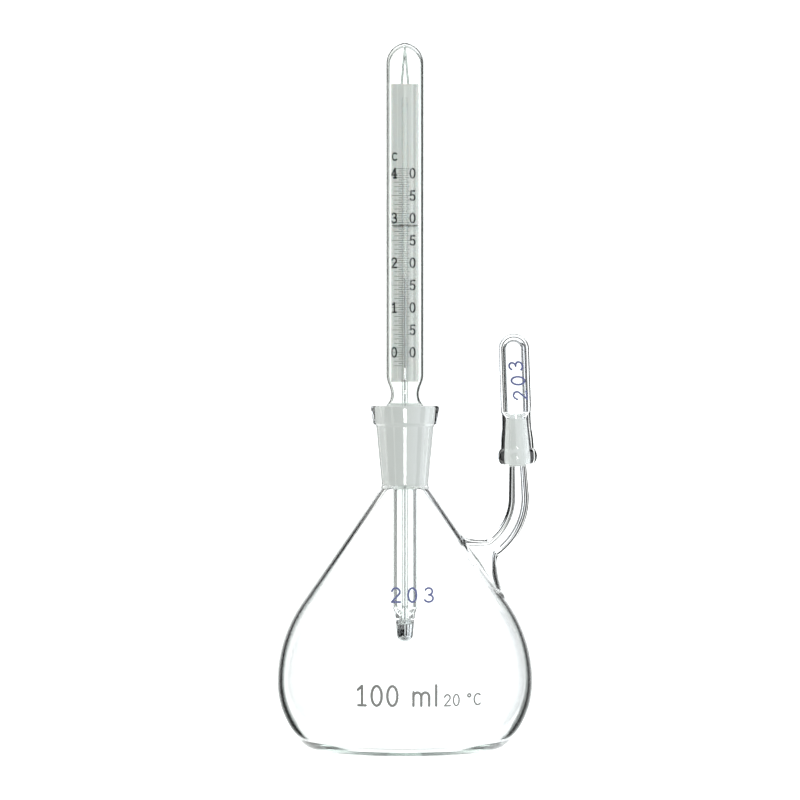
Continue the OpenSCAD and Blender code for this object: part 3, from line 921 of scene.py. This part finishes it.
class Thermometer:
    """Heights and radii that the jacket and the capillary share."""

    def __init__(self, flask, s):
        low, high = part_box("thermometer_jacket")
        self.tip = high.z / MM
        self.seal = low.z / MM
        low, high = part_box("capillary_tube")
        self.bulb_tip = low.z / MM
        self.top = high.z / MM
        self.jacket_r = s.jacket_d / MM / 2
        self.wall = s.jacket_wall / MM
        self.waist_r = s.waist_d / MM / 2
        self.waist_z = flask.joint_top + WAIST_RISE
        self.waist_top = self.waist_z + WAIST_H
        self.stem_r = s.stem_d / MM / 2
        self.stem_bore = self.stem_r - s.stem_wall / MM
        self.capillary_r = s.capillary_d / MM / 2


class PYCNOMETER_OT_jacket(bpy.types.Operator):
    """Adds the thermometer's jacket with its ground cone and stem"""
    bl_idname = "pycnometer.jacket"
    bl_label = "Jacket"

    def execute(self, context):
        s = context.scene.pycnometer_thermometer
        flask = Flask(context.scene.pycnometer_flask)
        t = Thermometer(flask, s)
        cone_r = flask.joint_r - GROUND_GAP
        cone_foot_r = flask.foot_r - GROUND_GAP
        waist_arc = (WAIST_RISE ** 2 + (cone_r - t.waist_r) ** 2) / 2 / (cone_r - t.waist_r)
        waist_x = t.waist_r + waist_arc
        low_turn = math.degrees(math.asin(WAIST_RISE / waist_arc))
        dome_r = t.jacket_r * OGIVE
        dome_x = t.jacket_r - dome_r
        dome_z = t.tip - t.jacket_r * math.sqrt(OGIVE ** 2 - (OGIVE - 1) ** 2)
        stem_foot = t.seal + STEM_FOOT_H

        outside = ease(STEM_FOOT_R, t.seal + 0.2, t.stem_r, stem_foot)
        foot = rounded([
            (t.stem_r, flask.foot_z - 1.2), (t.stem_r, flask.foot_z - 0.5),
            (cone_foot_r - 0.1, flask.foot_z), (cone_foot_r, flask.foot_z + 0.4)], 0.4)
        outside += line(outside[-1], foot[0], 2) + foot[1:]
        cone_start = len(outside) - 1
        waist = arc(waist_x, t.waist_z, waist_arc, 180 + low_turn, 180, 3)
        outside += line(foot[-1], waist[0])
        ground = range(cone_start, len(outside) - 1)
        outside += waist[1:] + ease(t.waist_r, t.waist_z, t.jacket_r, t.waist_top)[1:]
        outside += line(outside[-1], (t.jacket_r, dome_z), 4)
        dome_end = math.degrees(math.acos(-dome_x / dome_r))
        outside += arc(dome_x, dome_z, dome_r, 0, dome_end, 3)[1:-1] + [(0, t.tip)]

        in_r = dome_r - t.wall
        in_end = math.degrees(math.acos(-dome_x / in_r))
        in_jacket = t.jacket_r - t.wall
        throat = flask.foot_z + 1.5
        cone_bore = cone_foot_r - CONE_WALL
        seal_r = t.capillary_r + 0.03
        inside = [(0, t.tip - 1.1), (0.35, t.tip - 1.05)]
        inside += arc(dome_x, dome_z, in_r, in_end - 6, 0, 3)
        inside += line(inside[-1], (in_jacket, t.waist_top), 4)
        inside += ease(in_jacket, t.waist_top, t.waist_r - t.wall, t.waist_z)[1:]
        inside += arc(waist_x, t.waist_z, waist_arc + t.wall, 183, 180 + low_turn * 0.6, 3)
        inside.append((cone_r - CONE_WALL, flask.joint_top - 0.6))
        inside += line(inside[-1], (cone_bore, throat + 2), 2)
        inside += ease(cone_bore, throat + 2, t.stem_bore, throat, 8)[1:]
        inside += line(inside[-1], (t.stem_bore, stem_foot - 0.2), 2)
        inside += ease(t.stem_bore, stem_foot - 0.2, seal_r, t.seal + 0.5)[1:]
        inside += [(seal_r, t.seal + 0.02), (SEAL_LIP_R, t.seal + 0.02)]

        shell = Shell()
        rings = shell.turned(outside + inside, 192)
        shell.skin(rings, lambda i: GROUND if i in ground else CLEAR)
        shell.bridge(rings[-1], rings[0])
        piece = shell.build("thermometer_envelope", [
            blown_borosilicate("borosilicate_lamp_worked", s.glass),
            ground_borosilicate("borosilicate_ground_cone", linear(NECK_FROST)),
        ])
        let_light_by(seat(piece, "thermometer", "jacket_glass", "thermometer_jacket"))
        return {"FINISHED"}


BULB_R = 1.95
BULB_TOP_R = 2.25
BULB_H = 5.4
BULB_WALL = 0.35
THREAD_R = 0.15
CHAMBER_R = 0.35

# Mercury reaches this far into the glass, so that no air shows between them
WETTING = 0.012


class PYCNOMETER_OT_capillary(bpy.types.Operator):
    """Adds the capillary with its bulb, and the mercury in it"""
    bl_idname = "pycnometer.capillary"
    bl_label = "Capillary and mercury"

    def execute(self, context):
        s = context.scene.pycnometer_thermometer
        t = Thermometer(Flask(context.scene.pycnometer_flask), s)
        r = t.capillary_r
        seal = t.bulb_tip + BULB_H
        tube = [(0, t.bulb_tip)] + self.end(BULB_R, 1.7, t.bulb_tip)
        tube += line((BULB_R, t.bulb_tip + 1.7), (BULB_TOP_R, seal - 0.3), 0.6)
        tube += ease(BULB_TOP_R, seal - 0.3, r, seal, 8)[1:]
        tube += line((r, seal), (r, t.top - r), 3)
        tube += arc(0, t.top - r, r, 0, 90, 10)[1:-1] + [(0, t.top)]
        top = t.top - r - 2
        void = self.hollow(t, seal, 0.0, top)[:-2] + [(THREAD_R, top)]
        void += ease(THREAD_R, top, CHAMBER_R, top + 0.5, 6)[1:]
        void += [(CHAMBER_R, top + 1.5)] + ease(CHAMBER_R, top + 1.5, 0.02, top + 2.0, 6)[1:-1]
        void.append((0, top + 2.0))

        def finish(outline):
            """The bulb's glass is clear, and the capillary above it is eased off."""
            rows = sum(1 for _, z in outline if z < seal + 0.4)
            return lambda i: 1 if i < rows else 0

        shell = Shell()
        shell.skin(shell.turned(tube, 128), finish(tube))
        shell.skin(shell.turned(void, 96), finish(void), flip=True)
        piece = shell.build("capillary_and_bulb", [
            blown_borosilicate("thermometer_glass_drawn", s.glass, ease_off=0.5),
            blown_borosilicate("thermometer_glass_blown", s.glass),
        ])
        let_light_by(seat(piece, "thermometer", "thermometer_glass", "capillary_tube"))

        fill = Shell()
        thread_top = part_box("mercury")[1].z / MM
        fill.skin(fill.turned(self.hollow(t, seal, -WETTING, thread_top), 128))
        mercury = fill.build("mercury_fill", [clean_mercury("mercury_clean")])
        seat(mercury, "thermometer", "mercury", "mercury")
        return {"FINISHED"}

    def end(self, r, h, z):
        """A rounded end, as wide and as high as given."""
        return [(r * math.sin(a), z + h * (1 - math.cos(a)))
                for a in (math.pi / 2 * i / 12 for i in range(1, 13))]

    def hollow(self, t, seal, inset, top):
        """Outline of the bulb's inside and of the thread above it."""
        wall = BULB_WALL + inset
        thread_r = THREAD_R - inset
        return (
            [(0, t.bulb_tip + wall)] + self.end(BULB_R - wall, 1.35, t.bulb_tip + wall)
            + [(BULB_TOP_R - wall, seal - BULB_WALL - 0.9), (1.75 - wall, seal - BULB_WALL - 0.3)]
            + ease(1.4 - wall, seal - 0.4, thread_r, seal - inset, 6) + [(thread_r, top), (0, top)]
        )


CAP_FOOT_R = 4.05
CAP_WAIST_R = 3.55
CAP_H = 31.5
CAP_BORE_FOOT = 12.9


class PYCNOMETER_OT_cap(bpy.types.Operator):
    """Adds the ground cap of the side arm"""
    bl_idname = "pycnometer.cap"
    bl_label = "Side arm cap"

    def execute(self, context):
        s = context.scene.pycnometer_cap
        r = s.cap_d / MM / 2
        bore = r - s.cap_wall / MM
        bead_r = s.bead_d / MM / 2
        half = s.bead_h / MM / 2
        bead_z = half + 0.15
        round_r = (half ** 2 + (bead_r - CAP_FOOT_R) ** 2) / 2 / (bead_r - CAP_FOOT_R)
        turn = math.degrees(math.asin(half / round_r))
        waist_z = CAP_JOINT_L - 0.3
        tube_z = waist_z + 4
        dome_z = CAP_H - r
        socket_r = CAP_JOINT_D / 2
        tip_r = socket_r - TAPER * CAP_JOINT_L / 2
        outside = (
            [(socket_r + 0.15, 0), (CAP_FOOT_R - 0.4, 0)]
            + arc(bead_r - round_r, bead_z, round_r, -turn, turn, 5)
            + ease(CAP_FOOT_R, bead_z + half + 0.4, CAP_WAIST_R, waist_z, 10)
            + ease(CAP_WAIST_R, waist_z + 1, r, tube_z, 8)
            + line((r, tube_z), (r, dome_z), 3) + arc(0, dome_z, r, 0, 90, 3)[1:-1]
            + [(0, dome_z + r)]
        )
        inside = [(0, dome_z + bore)] + arc(0, dome_z, bore, 90, 0, 4)[1:]
        inside += line(inside[-1], (bore, CAP_BORE_FOOT), 3)
        inside += ease(bore, CAP_BORE_FOOT, tip_r, CAP_JOINT_L, 10)[1:]
        start = len(outside + inside) - 1
        inside += line(inside[-1], (socket_r, 0.15), 0.8)
        ground = range(start, len(outside + inside) - 1)

        shell = Shell()
        rings = shell.turned(outside + inside, 160)
        shell.skin(rings, lambda i: GROUND if i in ground else CLEAR)
        shell.bridge(rings[-1], rings[0])
        piece = shell.build("cap_glass_body", [
            blown_borosilicate("borosilicate_lamp_worked_cap", s.glass),
            ground_borosilicate("borosilicate_ground_cap", linear(CAP_FROST)),
        ], cap_place(context))
        let_light_by(seat(piece, "cap", "cap_glass", "side_arm_cap"))
        return {"FINISHED"}


def cap_place(context):
    """Frame of the cap, with its origin at the centre of its mouth."""
    arm = ArmPath(Flask(context.scene.pycnometer_flask))
    mouth = arm.end + ARM_RISE * arm.axis
    side = arm.side(arm.turn)
    return Matrix((
        (side.x, 0, arm.axis.x, mouth.x), (0, 1, 0, 0), (side.z, 0, arm.axis.z, mouth.z), (0, 0, 0, 1)
    ))


# How far printed marks lie in front of the opal plate, and of clear glass
INK_LIFT = 0.012
MARK_LIFT = 0.01

# Pens, as parts of a character's height
BOLD_PEN = 0.16
FINE_PEN = 0.13


def bow(cx, cy, rx, ry, start, end):
    """Points of an oval arc in a figure, between two angles in degrees."""
    n = max(6, math.ceil(abs(end - start) / 12))
    turns = [math.radians(start + (end - start) * i / n) for i in range(n + 1)]
    return [(cx + rx * math.cos(a), cy + ry * math.sin(a)) for a in turns]


# Width and pen strokes of each printed character, as parts of a figure's height
FIGURES = {
    "0": (0.56, [bow(0.28, 0.5, 0.23, 0.45, 90, 450)]),
    "1": (0.5, [[(0.08, 0.76), (0.27, 0.95), (0.27, 0.05)], [(0.1, 0.05), (0.44, 0.05)]]),
    "2": (0.56, [bow(0.28, 0.7, 0.22, 0.25, 170, -35) + [(0.05, 0.05), (0.52, 0.05)]]),
    "3": (0.56, [bow(0.27, 0.73, 0.2, 0.22, 155, -90) + bow(0.27, 0.28, 0.24, 0.23, 90, -155)]),
    "4": (0.6, [
        [(0.4, 0.05), (0.4, 0.95), (0.05, 0.32), (0.56, 0.32)], [(0.26, 0.05), (0.54, 0.05)],
    ]),
    "5": (0.56, [[(0.48, 0.95), (0.14, 0.95), (0.1, 0.53)] + bow(0.27, 0.32, 0.23, 0.27, 130, -150)]),
    "c": (0.56, [bow(0.28, 0.5, 0.22, 0.45, 50, 310)]),
    "C": (0.68, [bow(0.35, 0.5, 0.29, 0.45, 50, 310)]),
    "m": (0.86, [
        [(0.06, 0.05), (0.06, 0.68)],
        [(0.06, 0.45)] + bow(0.24, 0.46, 0.18, 0.2, 160, 0) + [(0.42, 0.05)],
        [(0.42, 0.45)] + bow(0.6, 0.46, 0.18, 0.2, 160, 0) + [(0.78, 0.05)],
    ]),
    "l": (0.2, [[(0.08, 0.05), (0.08, 0.98)]]),
    "°": (0.34, [bow(0.15, 0.84, 0.12, 0.12, 90, 450)]),
    " ": (0.3, []),
}


def write(shell, text, height, pen, place, spacing=0.16, stretch=1.0):
    """Draws printed characters with a round pen, centred on the place's own origin."""
    width = sum(FIGURES[sign][0] for sign in text) + spacing * (len(text) - 1)
    x = -width / 2
    for sign in text:
        advance, strokes = FIGURES[sign]
        for path in strokes:
            points = [Vector(((x + u) * height * stretch, (v - 0.5) * height)) for u, v in path]
            stroke(shell, points, pen * height / 2, place)
        x += advance + spacing


def stroke(shell, path, r, place, step=0.35):
    """One pen stroke: a ribbon of even width with a round dot at its ends and corners."""
    points = [path[0]]
    for a, b in zip(path, path[1:]):
        n = max(1, math.ceil((b - a).length / step))
        points += [a.lerp(b, i / n) for i in range(1, n + 1)]
    ends = {0, len(points) - 1}
    closed = (points[0] - points[-1]).length < 0.01
    ways = [(b - a).normalized() for a, b in zip(points, points[1:])]
    corners = ends | {i for i in range(1, len(ways)) if ways[i - 1].dot(ways[i]) < 0.8}
    for i, way in enumerate(ways):
        sides = []
        for at, other in ((i, i - 1), (i + 1, i + 1)):
            near = way
            if closed and at in ends:
                near = (way + ways[other % len(ways)]).normalized()
            elif at not in corners:
                near = (way + ways[other]).normalized()
            left = Vector((-near.y, near.x)) * r / max(0.7, near.dot(way))
            sides.append((points[at] - left, points[at] + left))
        (a, d), (b, c) = sides
        shell.face(shell.ring([place(*p) for p in (a, b, c, d)]))
    for i in corners - ends if closed else corners:
        turns = [2 * math.pi * k / 12 for k in range(12)]
        dot = [points[i] + r * Vector((math.cos(a), math.sin(a))) for a in turns]
        shell.face(shell.ring([place(*p) for p in dot]))


# Left and right ends of the lines at five degrees, one degree and half a degree
TICKS = [(-3.4, 1.3), (-2.6, 1.1), (-1.5, 0.6)]
TICK_W = 0.1

# Half degrees from the zero line to the lowest and the highest line
LOWEST_TICK = -6
HIGHEST_TICK = 82

# Middles of the two columns of figures
TENS_X = -2.65
UNITS_X = 1.85


class PYCNOMETER_OT_scale(bpy.types.Operator):
    """Gives the opal plate, the hanger and the tie wire their materials, and adds the plate's
    divisions and figures
    """
    bl_idname = "pycnometer.scale"
    bl_label = "Scale"

    def execute(self, context):
        s = context.scene.pycnometer_scale
        looks = {
            "scale_plate": opal_glass("opal_glass_flashed", s.plate),
            "scale_hanger": blown_borosilicate("borosilicate_drawn_rod", linear("#BFC5C2")),
            "scale_tie_wire": drawn_steel("steel_wire_drawn"),
        }
        for name, look in looks.items():
            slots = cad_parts[name].data.materials
            slots.clear()
            slots.append(look)

        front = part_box("scale_plate")[0].y / MM - INK_LIFT
        zero, degree, height = in_mm(s, "zero_z", "degree", "figure_h")

        def on_plate(x, z):
            return lambda u, v: Vector((x + u, front, z + v))

        bars = Shell()
        for i in range(LOWEST_TICK, HIGHEST_TICK + 1):
            left, right = TICKS[0 if i % 10 == 0 else 1 if i % 2 == 0 else 2]
            low = zero + degree * i / 2 - TICK_W / 2
            high = low + TICK_W
            bars.face(bars.ring([
                (left, front, low), (right, front, low), (right, front, high), (left, front, high),
            ]))
        figures = Shell()
        for fives in range(9):
            z = zero + degree * 5 * fives
            if fives % 2 == 0:
                write(figures, str(fives // 2), height, BOLD_PEN, on_plate(TENS_X, z))
            write(figures, "50"[fives % 2 == 0], height, BOLD_PEN, on_plate(UNITS_X, z))
        letter = on_plate(-2.45, zero + degree * 43.7)
        write(figures, "c", height * 0.76, 0.2, letter, stretch=1.5)
        ink = fired_enamel("enamel_black_fired", s.ink)
        seat(bars.build("scale_divisions", [ink]), "thermometer", "opal_glass")
        seat(figures.build("scale_figures", [ink]), "thermometer", "opal_glass")
        return {"FINISHED"}


class PYCNOMETER_OT_marks(bpy.types.Operator):
    """Adds the set numbers and the capacity mark"""
    bl_idname = "pycnometer.marks"
    bl_label = "Marks"

    def execute(self, context):
        s = context.scene.pycnometer_marks
        outline = Flask(context.scene.pycnometer_flask).outside()
        number_h, capacity_h = in_mm(s, "number_h", "capacity_h")
        cap_r = context.scene.pycnometer_cap.cap_d / MM / 2 + MARK_LIFT

        def on_flask(x, z):
            """Place on the flask's front, with its origin at x and z."""
            def place(u, v):
                r = radius_at(outline, z + v) + MARK_LIFT
                return Vector((x + u, -math.sqrt(r * r - (x + u) ** 2), z + v))
            return place

        def on_cap(u, v):
            """Place on the cap's front, where the number reads upwards and slants a little."""
            x = 0.65 - v - 0.12 * u
            return Vector((x, -math.sqrt(cap_r ** 2 - x * x), 20.1 + u))

        blue = fired_enamel("enamel_blue_fired", s.blue, 0.05)
        grey = fired_enamel("enamel_grey_fired", s.grey, 0.1)
        number = Shell()
        write(number, s.set_number, number_h, FINE_PEN, on_flask(1.7, 38.1), 0.35, 1.22)
        seat(number.build("flask_number", [blue]), "flask", "borosilicate_glass")
        mark = Shell()
        write(mark, "100 ml", capacity_h, 0.12, on_flask(-1.8, 15.0))
        write(mark, "20 °C", 2.9, FINE_PEN, on_flask(13.5, 13.9))
        seat(mark.build("capacity_mark", [grey]), "flask", "borosilicate_glass")
        label = Shell()
        write(label, s.set_number, number_h, FINE_PEN, on_cap, 0.3, 1.18)
        seat(label.build("cap_number", [blue], cap_place(context)), "cap", "cap_glass")
        return {"FINISHED"}


OPERATORS = [
    PYCNOMETER_OT_stage, PYCNOMETER_OT_flask, PYCNOMETER_OT_jacket, PYCNOMETER_OT_capillary,
    PYCNOMETER_OT_cap, PYCNOMETER_OT_scale, PYCNOMETER_OT_marks,
]
SETTINGS = {
    "pycnometer_flask": FlaskSettings, "pycnometer_thermometer": ThermometerSettings,
    "pycnometer_scale": ScaleSettings, "pycnometer_cap": CapSettings,
    "pycnometer_marks": MarkSettings, "pycnometer_stage": StageSettings,
}


class PYCNOMETER_PT_panel(bpy.types.Panel):
    """Lists the pieces of the pycnometer"""
    bl_idname = "PYCNOMETER_PT_panel"
    bl_label = "Pycnometer"
    bl_space_type = "VIEW_3D"
    bl_region_type = "UI"
    bl_category = "Pycnometer"

    def draw(self, context):
        for operator in OPERATORS:
            self.layout.operator(operator.bl_idname)
        for name, group in SETTINGS.items():
            box = self.layout.box()
            for prop in group.__annotations__:
                box.prop(getattr(context.scene, name), prop)


def register():
    for cls in [*SETTINGS.values(), *OPERATORS, PYCNOMETER_PT_panel]:
        bpy.utils.register_class(cls)
    for name, group in SETTINGS.items():
        setattr(bpy.types.Scene, name, bpy.props.PointerProperty(type=group))


def unregister():
    for name in SETTINGS:
        delattr(bpy.types.Scene, name)
    for cls in [PYCNOMETER_PT_panel, *reversed(OPERATORS), *reversed(SETTINGS.values())]:
        bpy.utils.unregister_class(cls)


def main():
    register()
    bpy.ops.pycnometer.stage()
    bpy.ops.pycnometer.flask()
    bpy.ops.pycnometer.jacket()
    bpy.ops.pycnometer.capillary()
    bpy.ops.pycnometer.cap()
    bpy.ops.pycnometer.scale()
    bpy.ops.pycnometer.marks()


if __name__ == "__main__":
    main()
